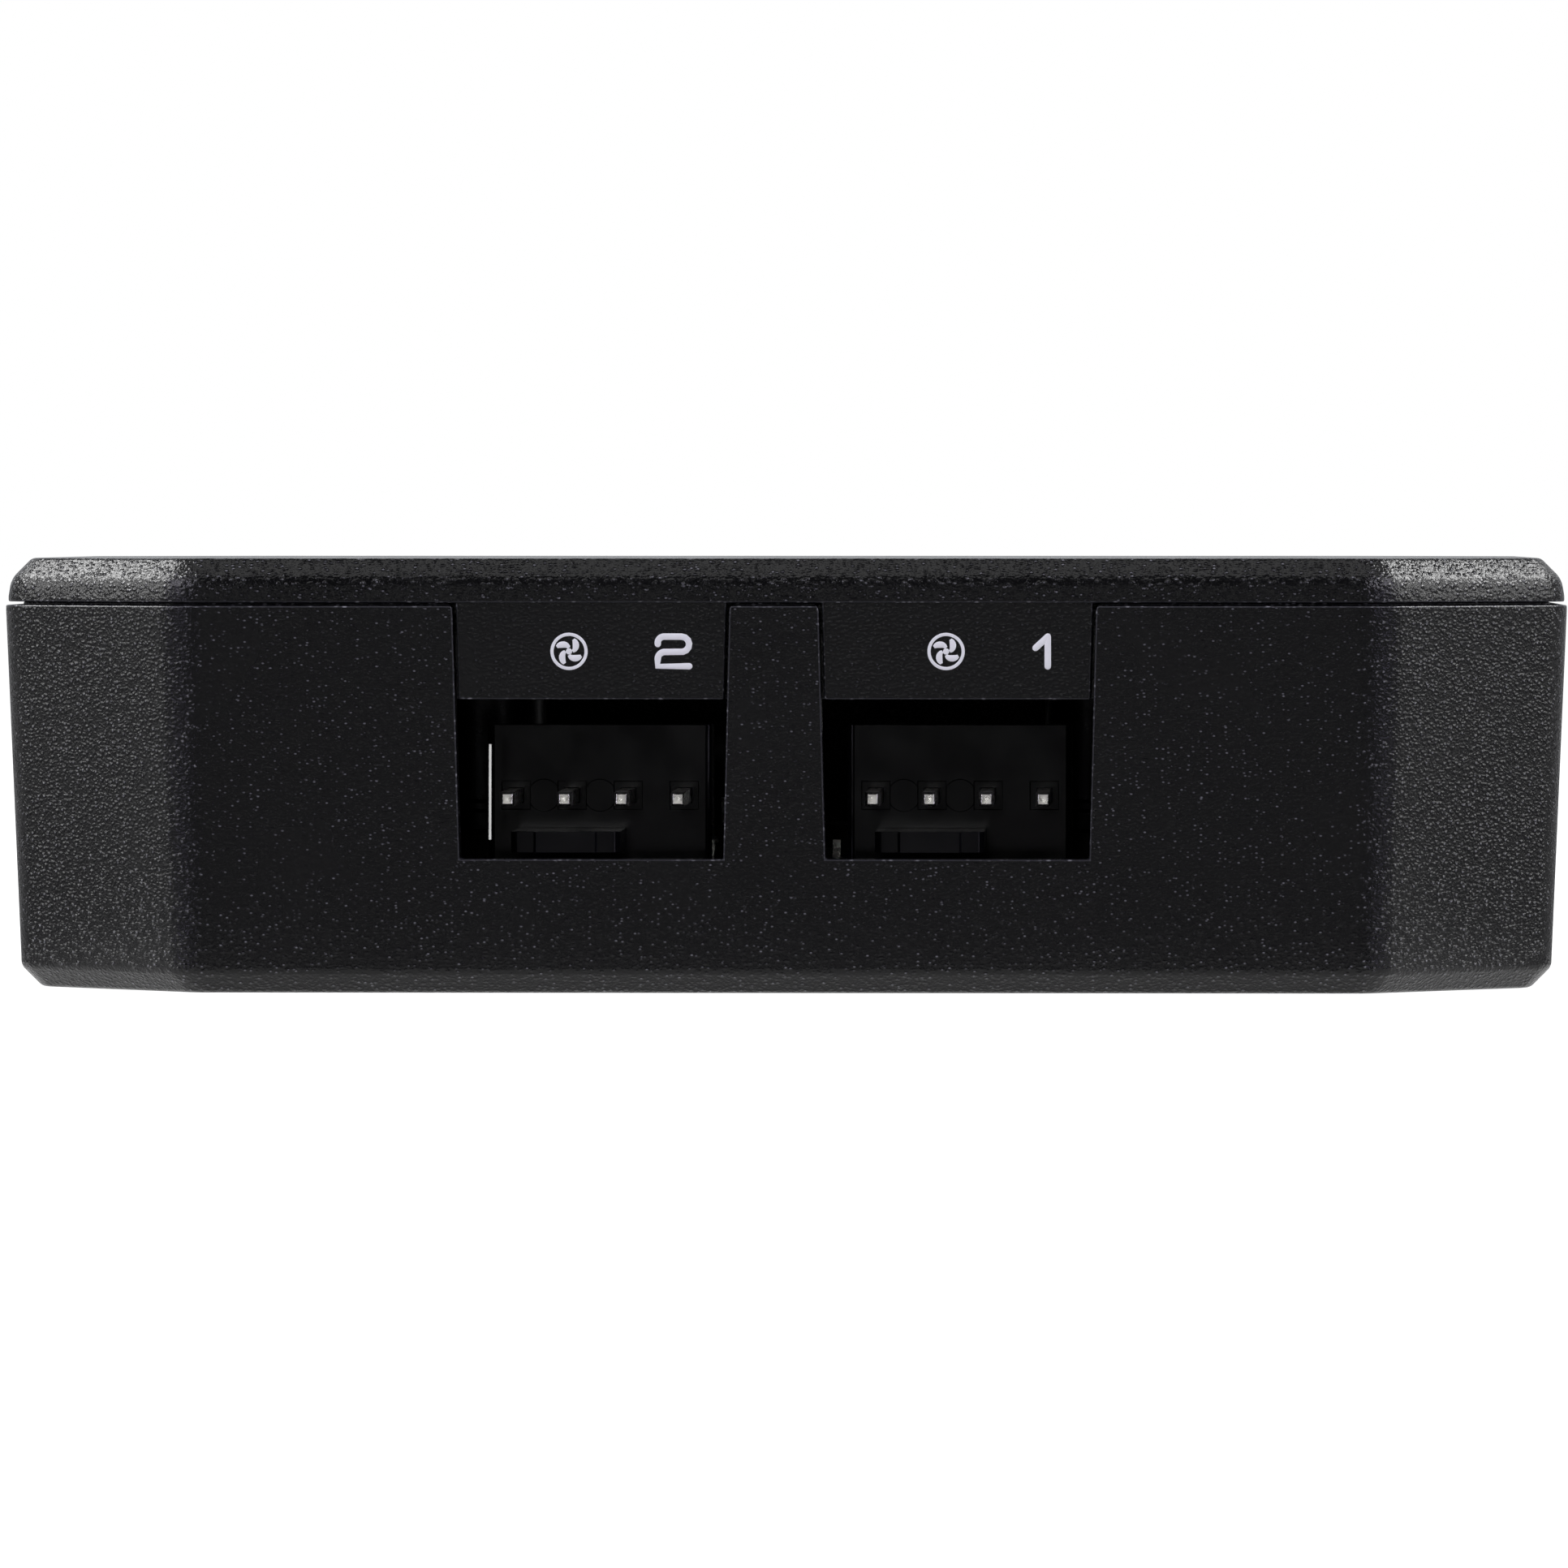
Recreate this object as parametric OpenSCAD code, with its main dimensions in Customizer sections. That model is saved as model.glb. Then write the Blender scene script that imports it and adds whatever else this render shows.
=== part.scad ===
// Two-channel fan controller hub: a moulded housing in two halves round a circuit board,
// with two keyed fan headers at the front, and a signal header and a power inlet at the back.
// Millimetres. The fan ports face -Y, +X is to the right of someone who looks at them, +Z is up,
// and the origin is the middle of the flat underside.

/* [Housing] */
// Width of the housing at its parting line
body_w = 70.6; // [69:0.2:80]
// Depth of the housing at its parting line
body_d = 52; // [50:0.5:64]
// Height from the underside to the top face
body_h = 19.4; // [18.8:0.1:24]
// Leg of the 45 degree cut across each upright corner
corner_cut = 7.7; // [6.9:0.1:7.9]
// Rounding between a wall and the cut beside it
corner_r = 3; // [2.9:0.05:3.6]
// Thickness of the side walls
wall = 1.8; // [1.6:0.05:1.9]
// Thickness of the floor
floor_t = 2; // [1.8:0.1:2.6]
// Lean of the walls from upright, which lets the moulding leave its tool
draft_angle = 2.4; // [0.5:0.1:2.8]
// Bevel round the underside
bottom_bevel = 0.95; // [0.6:0.05:1.2]
// Rounding of the edges of both bevels
edge_r = 0.4; // [0.2:0.05:0.5]

/* [Cover] */
// Thickness of the cover
cover_t = 1.97; // [1.6:0.01:2.4]
// Bevel round the top face
top_bevel = 0.95; // [0.6:0.05:1.1]
// Distance of the cover's edge inside the edge of the base
cover_inset = 0.12; // [0.02:0.01:0.3]
// Height of the shadow gap at the parting line
shadow_gap = 0.15; // [0.1:0.01:0.4]
// Depth of the shadow gap
shadow_depth = 0.8; // [0.5:0.05:1]
// Height of the tongue that centres the cover in the base
tongue_h = 1.5; // [1:0.1:2.2]
// Thickness of that tongue
tongue_t = 0.75; // [0.6:0.05:0.8]
// Clearance between moulded faces that slide past each other
fit_gap = 0.15; // [0.1:0.01:0.2]

/* [Ports] */
// Distance between the middles of the two fan ports
port_pitch = 16.3; // [15:0.1:20]
// Distance of the fan ports' common middle from the housing's middle
port_shift = -0.25; // [-3:0.05:3]
// Width of a header port at its sill
port_w = 11.75; // [11.2:0.05:12.4]
// Lean of a port's sides from upright
port_lean = 1.5; // [0.5:0.1:2.5]
// Height of a header port above the pins' centre line
port_above = 4.47; // [4.45:0.01:5.2]
// Depth of a header port below the pins' centre line
port_below = 2.65; // [2.5:0.05:3]
// Distance of a cover tab's face behind the wall's face
tab_setback = 0.25; // [0.15:0.01:0.4]
// Rounding of the base's corners at the top of a port
port_corner = 0.35; // [0.2:0.05:0.6]

/* [Headers] */
// Distance between neighbouring header pins
pin_pitch = 2.54; // [2.3:0.02:2.6]
// Number of pins in each header
pin_count = 4; // [3:1:4]
// Side of a square pin
pin_side = 0.64; // [0.5:0.02:0.66]
// Height of the pins' centre line above the board
pin_rise = 3.15; // [2.95:0.05:3.4]
// Free length of the pins in front of their block
pin_reach = 8; // [7:0.1:9]
// Distance of the pins' tips behind the wall's face
pin_setback = 2; // [1:0.1:3]
// Thickness of a header's block
header_t = 3.2; // [2.8:0.1:3.6]
// Height of a header's block
header_h = 6.35; // [5.8:0.05:7]
// Width of the friction lock below the pins
lock_w = 4.9; // [4.2:0.02:5.2]
// Thickness of the friction lock
lock_t = 0.95; // [0.8:0.05:1.1]
// Length of the friction lock in front of the block
lock_reach = 7; // [5:0.1:8]
// Distance from the pins' centre line down to the lock
lock_drop = 1.48; // [1.3:0.02:1.6]

/* [Power inlet] */
// Width of the power inlet's body
inlet_w = 23.4; // [22.8:0.1:24]
// Height of the power inlet's body
inlet_h = 5.6; // [5.2:0.1:6.2]
// Thickness of the inlet's side, top and bottom walls
inlet_wall = 0.8; // [0.6:0.05:0.9]
// Depth of the inlet's open mouth
inlet_mouth = 5.2; // [4.5:0.1:6]
// Thickness of the inlet's rear wall
inlet_back = 3; // [2.5:0.1:4]
// Distance of the inlet's mouth behind the wall's face
inlet_setback = 0.8; // [0.5:0.1:1.5]
// Width of the contact tongue
blade_w = 20.6; // [20:0.1:21]
// Thickness of the contact tongue
blade_t = 1.3; // [1.1:0.1:1.6]
// Distance between neighbouring contacts
contact_pitch = 1.27; // [1.2:0.01:1.3]
// Number of contacts
contact_count = 15; // [13:1:15]
// Width of a contact
contact_w = 0.8; // [0.6:0.05:0.9]
// Thickness of a contact
contact_t = 0.2; // [0.15:0.01:0.3]

/* [Board and screws] */
// Thickness of the circuit board
board_t = 1.6; // [1.2:0.1:2]
// Height of the standoffs that carry the board
standoff_h = 1.9; // [1.7:0.1:2.4]
// Distance of the board's edge inside the parting line's edge
board_inset = 3.2; // [3:0.1:3.6]
// Distance of the screws from the side walls' faces
screw_in_x = 8; // [7.8:0.1:8.6]
// Distance of the screws from the front and back walls' faces
screw_in_y = 8.2; // [8:0.1:9]
// Diameter of the screws' core
screw_d = 2.2; // [1.8:0.1:2.4]
// Length of a screw under its head
screw_len = 10; // [8:0.5:11]
// Diameter of a screw's head
head_d = 4.2; // [3.8:0.1:4.6]
// Height of a screw's head
head_h = 1.5; // [1.2:0.1:1.7]
// Depth of a screw's head inside the underside
head_sink = 0.4; // [0.2:0.1:0.6]
// Outer diameter of the cover's screw bosses
boss_d = 5.4; // [4.8:0.1:5.8]

/* [Components] */
// Side of the controller chip's body
chip_side = 7; // [6.8:0.1:7.6]
// Height of the controller chip's body
chip_h = 1.4; // [1:0.1:1.6]
// Pitch of the controller chip's leads
lead_pitch = 0.8; // [0.65:0.05:0.8]
// Number of leads on each side of the controller chip
leads_per_side = 8; // [6:1:8]
// Length of a lead from its package to its tip
lead_reach = 1; // [0.8:0.05:1.2]
// Thickness of a lead
lead_t = 0.15; // [0.1:0.01:0.2]
// Width of a power transistor's body
transistor_w = 5; // [4.6:0.1:5.4]
// Depth of a power transistor's body
transistor_d = 4; // [3.6:0.1:4.4]
// Height of a power transistor's body
transistor_h = 1.5; // [1.2:0.1:1.8]
// Width of the voltage regulator's body
regulator_w = 6.5; // [6:0.1:7]
// Depth of the voltage regulator's body
regulator_d = 3.5; // [3.2:0.1:3.8]
// Height of the voltage regulator's body
regulator_h = 1.5; // [1.2:0.1:1.8]
// Diameter of a capacitor's can
can_d = 6.3; // [5:0.1:6.6]
// Height of a capacitor above the board
can_h = 7.7; // [5.4:0.1:9]
// Side of an inductor
coil_side = 6; // [5:0.1:6.4]
// Height of an inductor
coil_h = 3; // [2:0.1:4]
// Length of the crystal's can
crystal_w = 5; // [3.2:0.1:5]
// Length of a chip resistor
resistor_len = 1.6; // [1:0.1:2]
// Length of a chip capacitor
ceramic_len = 2; // [1.6:0.1:2.2]
// Free room kept between neighbouring components
part_gap = 1; // [0.8:0.1:1.2]

/* [Hidden] */

housing_black = [0.09, 0.09, 0.095];
nylon_black = [0.05, 0.05, 0.055];
tin = [0.78, 0.78, 0.76];
steel = [0.35, 0.35, 0.37];
mask_black = [0.04, 0.045, 0.045];
epoxy_black = [0.12, 0.12, 0.12];
can_silver = [0.72, 0.73, 0.75];
ferrite = [0.2, 0.2, 0.21];
ceramic_tan = [0.72, 0.6, 0.42];

// Steps in each softened edge of a bevel.
edge_steps = 2;
// Far enough past a face for a clean cut or a sound joint.
past = 0.5;
// Gap round a pin in its block, as thin as a press fit.
press_gap = 0.02;
// Clearance of a screw's head in its recess and of its core in a through hole, on the diameter.
screw_gap = 0.5;
// Clearance of a pin in the board, on the diameter.
drill_gap = 0.15;

parting_z = body_h - cover_t;
board_z = floor_t + standoff_h;
board_top = board_z + board_t;
pin_z = board_top + pin_rise;
// Pins and contacts stop this far under the board.
tail = 1.1;

face_y = body_d / 2;
screw_x = body_w / 2 - screw_in_x;
screw_y = body_d / 2 - screw_in_y;
head_seat = head_sink + head_h;
pilot_top = head_seat + screw_len + 1;
foot_d = boss_d + 1;

header_w = pin_count * pin_pitch;
block_y = pin_setback + pin_reach;
bend_y = block_y + header_t + 1.4;
header_sill = pin_z - port_below;
header_top = pin_z + port_above;

inlet_gap = 0.2;
inlet_sill = board_top - inlet_gap;
inlet_top = board_top + inlet_h + inlet_gap;
inlet_port_w = inlet_w + 2 * inlet_gap;
inlet_rear = inlet_setback + inlet_mouth + inlet_back;
contact_z = board_top + inlet_h / 2;

port_1_x = port_shift + port_pitch / 2;
port_2_x = port_shift - port_pitch / 2;
// The inlet and the signal header's port each lie beside a screw boss.
boss_gap = 0.5;
signal_x = screw_x - boss_d / 2 - port_w / 2;
inlet_x = inlet_w / 2 + boss_gap + boss_d / 2 - screw_x;

// How far the leaning wall has come in from the parting line at height z.
function inset_at(z) = (parting_z - z) * tan(draft_angle);

function unit(v) = v / norm(v);

// The corner at b of the line a-b-c, rounded to radius r.
function rounded(a, b, c, r) =
    let (
        u = unit(a - b),
        v = unit(c - b),
        half = acos(u * v) / 2,
        middle = b + unit(u + v) * r / sin(half),
        from = b + u * r / tan(half) - middle,
        to = b + v * r / tan(half) - middle
    )
    [for (k = [0:edge_steps]) middle + r * unit(from + (to - from) * k / edge_steps)];

// Rounded to a thousandth of a millimetre, so that neighbouring pieces of the shell share their edges.
function tidy(v) = round(v * 1000) / 1000;

// Centres of the eight roundings of the plan outline, anticlockwise from the right end of the right-hand wall.
function corner_centres() =
    let (
        x = tidy(body_w / 2 - corner_r),
        y = tidy(body_d / 2 - corner_r),
        c = tidy(corner_cut - (2 - sqrt(2)) * corner_r)
    )
    [[x, y - c], [x - c, y], [c - x, y], [-x, y - c], [-x, c - y], [c - x, -y], [x - c, -y], [x, c - y]];

// A wall section carried round the plan outline. The section's x is the distance outward from the
// rounding centres, so a point at corner_r is on the outline, and its y is the height.
module swept(section) {
    centres = corner_centres();
    for (k = [0:7]) {
        before = centres[(k + 7) % 8];
        translate((before + centres[k]) / 2) rotate([90, 0, 45 * k])
            linear_extrude(height = norm(centres[k] - before), center = true) polygon(section);
        translate(centres[k]) rotate([0, 0, 45 * k]) rotate_extrude(angle = 45, $fn = 96) polygon(section);
    }
}

// The flat plate that a swept section with x = 0 closes round.
module middle_plate(low, high) {
    translate([0, 0, low]) linear_extrude(height = high - low) polygon(corner_centres());
}

// A profile drawn in X and Z, pushed from y = 0 towards -Y.
module push_forward(depth) {
    rotate([90, 0, 0]) linear_extrude(height = depth) children();
}

// A profile drawn in Y and Z, pushed both ways along X.
module push_across(width) {
    rotate([90, 0, 90]) linear_extrude(height = width, center = true) children();
}

module at_screws() {
    for (x = [-screw_x, screw_x], y = [-screw_y, screw_y]) translate([x, y, 0]) children();
}

// A part that is drawn with its mating side towards -Y, placed at the front wall.
module at_front(x) {
    translate([x, -face_y, 0]) children();
}

// The same at the back wall, turned to face +Y.
module at_back(x) {
    translate([x, face_y, 0]) rotate([0, 0, 180]) children();
}

module each_pin() {
    for (i = [0:pin_count - 1]) translate([(i - (pin_count - 1) / 2) * pin_pitch, 0, 0]) children();
}

module each_contact() {
    for (i = [0:contact_count - 1]) translate([(i - (contact_count - 1) / 2) * contact_pitch, 0, 0]) children();
}

// A moulded package with its long edges leaning in above and below its middle.
module package(w, d, h) {
    lean = 0.12;
    intersection() {
        push_across(w) polygon([[lean - d / 2, 0], [d / 2 - lean, 0], [d / 2, h / 2], [d / 2 - lean, h], [lean - d / 2, h], [-d / 2, h / 2]]);
        translate([0, d / 2, 0]) push_forward(d)
            polygon([[lean - w / 2, 0], [w / 2 - lean, 0], [w / 2, h / 2], [w / 2 - lean, h], [lean - w / 2, h], [-w / 2, h / 2]]);
    }
}

// The opening's outline in X and Z between two heights, with shrink taken off each side.
module port_outline(width, sill_z, low, high, shrink) {
    at_low = width / 2 + (low - sill_z) * tan(port_lean) - shrink;
    at_high = width / 2 + (high - sill_z) * tan(port_lean) - shrink;
    polygon([[-at_low, low], [at_low, low], [at_high, high], [-at_high, high]]);
}

// The opening in the wall, from its sill up through the parting line, where the wall's corners are rounded.
module port_cut(width, sill_z) {
    depth = wall + inset_at(sill_z) + past;
    low = [width / 2, sill_z];
    corner = [width / 2 + (parting_z - sill_z) * tan(port_lean), parting_z];
    right = concat([low], rounded(low, corner, corner + [1, 0], port_corner), [corner + [port_corner, past]]);
    left = [for (i = [len(right) - 1:-1:0]) [-right[i][0], right[i][1]]];
    translate([0, depth, 0]) push_forward(depth + past) polygon(concat(right, left));
}

// A tab that hangs from the cover and closes the top of a port.
module cover_tab(width, sill_z, low) {
    rear = wall + fit_gap + tongue_t / 2;
    intersection() {
        translate([0, rear, 0]) push_forward(rear) port_outline(width, sill_z, low, parting_z + past, fit_gap);
        push_across(width + 2 * wall)
            polygon([
                [inset_at(low) + tab_setback, low], [rear, low],
                [rear, parting_z + past], [inset_at(parting_z + past) + tab_setback, parting_z + past],
            ]);
    }
}

module base_tray() {
    inner = corner_r - wall;
    land_z = parting_z - shadow_gap;
    foot = [corner_r - inset_at(bottom_bevel) - bottom_bevel, 0];
    bend = [corner_r - inset_at(bottom_bevel), bottom_bevel];
    land = [corner_r - inset_at(land_z), land_z];
    swept(concat(
        [[0, 0]],
        rounded([0, 0], foot, bend, edge_r),
        rounded(foot, bend, land, edge_r),
        [
            land, [corner_r - shadow_depth, land_z], [corner_r - shadow_depth, parting_z],
            [inner, parting_z], [inner - inset_at(floor_t), floor_t], [0, floor_t],
        ]
    ));
    middle_plate(0, floor_t);
}

// A post that carries the board, with four fins that brace it on the floor.
module standoff() {
    fin_reach = foot_d / 2 + 1;
    translate([0, 0, floor_t - past]) cylinder(d = foot_d, h = standoff_h + past, $fn = 64);
    for (a = [0, 90])
        rotate([0, 0, a]) push_across(0.8)
            polygon([
                [-fin_reach, floor_t - past], [fin_reach, floor_t - past], [fin_reach, floor_t + 0.3],
                [foot_d / 2 - 0.3, board_z - 0.4], [0.3 - foot_d / 2, board_z - 0.4], [-fin_reach, floor_t + 0.3],
            ]);
}

module base_shell() {
    color(housing_black) difference() {
        union() {
            base_tray();
            at_screws() standoff();
        }
        at_front(port_1_x) port_cut(port_w, header_sill);
        at_front(port_2_x) port_cut(port_w, header_sill);
        at_back(signal_x) port_cut(port_w, header_sill);
        at_back(inlet_x) port_cut(inlet_port_w, inlet_sill);
        at_screws() {
            translate([0, 0, -past]) cylinder(d = head_d + screw_gap, h = head_seat + past, $fn = 64);
            cylinder(d = screw_d + screw_gap, h = board_z + past, $fn = 48);
        }
    }
}

module cover_plate() {
    tongue_out = corner_r - wall - fit_gap - inset_at(parting_z - tongue_h);
    low = [corner_r - cover_inset, parting_z];
    bend = [low[0] - (cover_t - top_bevel) * tan(draft_angle), body_h - top_bevel];
    crown = [bend[0] - top_bevel, body_h];
    swept(concat(
        [
            [0, parting_z], [tongue_out - tongue_t, parting_z], [tongue_out - tongue_t, parting_z - tongue_h],
            [tongue_out, parting_z - tongue_h], [tongue_out, parting_z], low,
        ],
        rounded(low, bend, crown, edge_r),
        rounded(bend, crown, [0, body_h], edge_r),
        [[0, body_h]]
    ));
    middle_plate(parting_z, body_h);
}

// A boss that presses on the board, with two fins that tie it to the cover.
module cover_boss() {
    fin_low = boss_d / 2 + 0.3;
    fin_high = boss_d / 2 + 1;
    fin_z = board_top + board_t * 2;
    translate([0, 0, board_top]) cylinder(d = boss_d, h = parting_z + past - board_top, $fn = 64);
    for (a = [0, 90])
        rotate([0, 0, a]) push_across(0.8)
            polygon([
                [-fin_low, fin_z], [fin_low, fin_z],
                [fin_high, parting_z + past], [-fin_high, parting_z + past],
            ]);
}

module top_cover() {
    color(housing_black) difference() {
        union() {
            cover_plate();
            at_screws() cover_boss();
            at_front(port_1_x) cover_tab(port_w, header_sill, header_top);
            at_front(port_2_x) cover_tab(port_w, header_sill, header_top);
            at_back(signal_x) cover_tab(port_w, header_sill, header_top);
            at_back(inlet_x) cover_tab(inlet_port_w, inlet_sill, inlet_top);
        }
        at_screws() translate([0, 0, board_top - past])
            cylinder(d = screw_d + 0.1, h = pilot_top - board_top + past, $fn = 48);
    }
}

// A pan-head screw that goes in from below, with a cross recess.
module case_screw() {
    difference() {
        translate([0, 0, head_seat]) rotate_extrude($fn = 48)
            polygon([
                [0, -head_h], [head_d / 2 - 1, -head_h], [head_d / 2 - 0.5, -head_h * 0.92],
                [head_d / 2 - 0.15, -head_h * 0.7], [head_d / 2, -head_h * 0.45], [head_d / 2, 0],
                [screw_d / 2, 0], [screw_d / 2, screw_len - 1], [screw_d / 4, screw_len], [0, screw_len],
            ]);
        for (a = [45, 135])
            translate([0, 0, head_sink - past]) rotate([0, 0, a])
                translate([-head_d / 4, -0.25, 0]) cube([head_d / 2, 0.5, past + 0.8]);
    }
}

module case_screws() {
    color(steel) at_screws() case_screw();
}

module circuit_board() {
    x = body_w / 2 - board_inset;
    y = body_d / 2 - board_inset;
    c = corner_cut - (2 - sqrt(2)) * board_inset;
    pin_hole = pin_side * sqrt(2) + drill_gap;
    color(mask_black) difference() {
        translate([0, 0, board_z]) linear_extrude(height = board_t)
            polygon([[x, y - c], [x - c, y], [c - x, y], [-x, y - c], [-x, c - y], [c - x, -y], [x - c, -y], [x, c - y]]);
        at_screws() translate([0, 0, board_z - past])
            cylinder(d = screw_d + screw_gap, h = board_t + 2 * past, $fn = 48);
        at_front(port_1_x) header_holes(pin_hole);
        at_front(port_2_x) header_holes(pin_hole);
        at_back(signal_x) header_holes(pin_hole);
        at_back(inlet_x) each_contact()
            translate([0, inlet_rear + contact_drop, board_z - past])
                cylinder(d = contact_hole, h = board_t + 2 * past, $fn = 24);
    }
}

module header_holes(d) {
    each_pin() translate([0, bend_y, board_z - past]) cylinder(d = d, h = board_t + 2 * past, $fn = 24);
}

// The insulating block of a header, with the friction lock that a fan's plug snaps over.
module header_block() {
    edge = 0.2;
    rear = block_y + header_t;
    lock_top = pin_z - lock_drop;
    lock_front = block_y - lock_reach;
    lock_x = (1 - (pin_count - 1) / 2) * pin_pitch;
    difference() {
        union() {
            translate([0, 0, board_top]) linear_extrude(height = header_h)
                polygon([
                    [-header_w / 2, block_y + edge], [edge - header_w / 2, block_y],
                    [header_w / 2 - edge, block_y], [header_w / 2, block_y + edge],
                    [header_w / 2, rear], [-header_w / 2, rear],
                ]);
            translate([lock_x, 0, lock_top - lock_t]) linear_extrude(height = lock_t) lock_outline(lock_front);
        }
        each_pin() {
            translate([-pin_side / 2 - press_gap, block_y - past, pin_z - pin_side / 2 - press_gap])
                cube([pin_side + 2 * press_gap, header_t + 2 * past, pin_side + 2 * press_gap]);
            translate([-pin_side, block_y - past, pin_z - pin_side])
                cube([2 * pin_side, past + 0.25, 2 * pin_side]);
        }
        for (i = [0, 1])
            translate([lock_x + (i - 0.5) * pin_pitch, block_y - past, pin_z])
                rotate([-90, 0, 0]) cylinder(d = 1.46, h = past + 0.08, $fn = 32);
    }
}

// The lock from above: bevelled sides and a middle that stands a little forward.
module lock_outline(front) {
    side = lock_w / 2;
    bevel = 0.26;
    middle = lock_w / 2 - bevel - 0.87;
    step = 0.2;
    polygon([
        [-side, block_y + past], [-side, front + step + bevel], [bevel - side, front + step],
        [-middle - step / 2, front + step], [-middle, front], [middle, front], [middle + step / 2, front + step],
        [side - bevel, front + step], [side, front + step + bevel], [side, block_y + past],
    ]);
}

// A square pin with a bevelled tip, bent down behind the block and through the board.
module header_pin() {
    h = pin_side / 2;
    tip = 0.1;
    lead = 0.25;
    bottom = board_z - tail;
    intersection() {
        push_across(pin_side)
            polygon([
                [pin_setback, pin_z - h + tip], [pin_setback + lead, pin_z - h], [bend_y - h, pin_z - h],
                [bend_y - h, bottom + lead], [bend_y - h + tip, bottom], [bend_y + h - tip, bottom],
                [bend_y + h, bottom + lead], [bend_y + h, pin_z + h - pin_side / 2], [bend_y, pin_z + h],
                [pin_setback + lead, pin_z + h], [pin_setback, pin_z + h - tip],
            ]);
        translate([0, 0, bottom]) linear_extrude(height = pin_z + h - bottom)
            polygon([
                [tip - h, pin_setback], [h - tip, pin_setback], [h, pin_setback + lead],
                [h, bend_y + h], [-h, bend_y + h], [-h, pin_setback + lead],
            ]);
    }
}

module fan_header_1() {
    color(nylon_black) at_front(port_1_x) header_block();
}

module fan_header_1_pins() {
    color(tin) at_front(port_1_x) each_pin() header_pin();
}

module fan_header_2() {
    color(nylon_black) at_front(port_2_x) header_block();
}

module fan_header_2_pins() {
    color(tin) at_front(port_2_x) each_pin() header_pin();
}

module signal_header() {
    color(nylon_black) at_back(signal_x) header_block();
}

module signal_header_pins() {
    color(tin) at_back(signal_x) each_pin() header_pin();
}

// How far behind the inlet its contacts turn down, and the size of their holes in the board.
contact_drop = 0.8;
contact_hole = sqrt(contact_w * contact_w + contact_t * contact_t) + drill_gap;

// Reach and thickness of the rim round the inlet's body, which closes the gap round it from inside.
rim_reach = 0.4;
rim_t = 1;

// The power inlet: a mouth round a flat tongue whose one end is turned down as a key.
module power_inlet() {
    mouth = inlet_setback + inlet_mouth;
    inner_w = inlet_w - 2 * inlet_wall;
    key = 1.2;
    color(nylon_black) at_back(inlet_x) difference() {
        union() {
            difference() {
                translate([-inlet_w / 2, inlet_setback, board_top])
                    cube([inlet_w, inlet_mouth + inlet_back, inlet_h]);
                translate([-inner_w / 2, inlet_setback - past, board_top + inlet_wall])
                    cube([inner_w, inlet_mouth + past, inlet_h - 2 * inlet_wall]);
            }
            translate([-inlet_w / 2 - rim_reach, mouth, board_top])
                cube([inlet_w + 2 * rim_reach, rim_t, inlet_h + rim_reach]);
            translate([-blade_w / 2, inlet_setback + 0.4, contact_z - blade_t / 2])
                cube([blade_w, inlet_mouth + past - 0.4, blade_t]);
            translate([blade_w / 2 - key, inlet_setback + 0.4, contact_z - blade_t / 2 - key])
                cube([key, inlet_mouth + past - 0.4, key + past]);
        }
        each_contact() translate([-contact_w / 2 - press_gap, inlet_setback + 1, contact_z - blade_t / 2 - past])
            cube([contact_w + 2 * press_gap, inlet_mouth + inlet_back, past + contact_t + press_gap]);
    }
}

// A flat contact let into the underside of the tongue, bent down behind the inlet.
module inlet_contact() {
    z = contact_z - blade_t / 2;
    y = inlet_rear + contact_drop;
    push_across(contact_w)
        polygon([
            [inlet_setback + 1.1, z], [y - contact_t / 2, z], [y - contact_t / 2, board_z - tail],
            [y + contact_t / 2, board_z - tail], [y + contact_t / 2, z + contact_t], [inlet_setback + 1.1, z + contact_t],
        ]);
}

module power_inlet_contacts() {
    color(tin) at_back(inlet_x) each_contact() inlet_contact();
}

// A lead that leaves a package at y = from, bends down and rests on the board.
module gull_lead(from, lift, width) {
    knee = from + lead_reach * 0.45;
    tip = from + lead_reach;
    push_across(width)
        polygon([
            [from, lift - lead_t], [knee - lead_t, lift - lead_t], [knee - lead_t, 0], [tip, 0],
            [tip, lead_t], [knee, lead_t], [knee, lift], [from, lift],
        ]);
}

// Leads side by side along the edge of a package whose middle is at the height lift.
module lead_row(count, pitch, from, lift) {
    for (i = [0:count - 1]) translate([(i - (count - 1) / 2) * pitch, 0, 0]) gull_lead(from, lift, pitch * 0.45);
}

// The controller chip stands in the middle, and the rest is laid out from it, the ports and the inlet.
chip_y = 2;
chip_reach = chip_side / 2 + lead_reach;
// Moulded packages stand a hair above the board, on their leads.
stand = 0.1;
transistor_y = bend_y - face_y + part_gap + lead_reach + transistor_d / 2;
regulator_y = face_y - inlet_rear - contact_drop - part_gap - lead_reach - regulator_d / 2;
can_side = can_d + 0.3;
crystal_x = chip_reach + part_gap + crystal_w / 2;
can_x = crystal_x + crystal_w / 2 + part_gap + can_side / 2;
coil_x = can_x + can_side / 2 + part_gap + coil_side / 2;

module on_board(x, y) {
    translate([x, y, board_top]) children();
}

module both_channels(x, y) {
    for (side = [-1, 1]) on_board(side * x, y) children();
}

// A square with its corners cut, seen from above.
module cut_square(side, cut) {
    h = side / 2;
    c = h - cut;
    polygon([[-h, -c], [-c, -h], [c, -h], [h, -c], [h, c], [c, h], [-c, h], [-h, c]]);
}

module controller_chip() {
    color(epoxy_black) on_board(0, chip_y) translate([0, 0, stand]) package(chip_side, chip_side, chip_h);
}

module controller_chip_leads() {
    color(tin) on_board(0, chip_y)
        for (side = [0:3])
            rotate([0, 0, 90 * side]) lead_row(leads_per_side, lead_pitch, chip_side / 2, stand + chip_h / 2);
}

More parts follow.
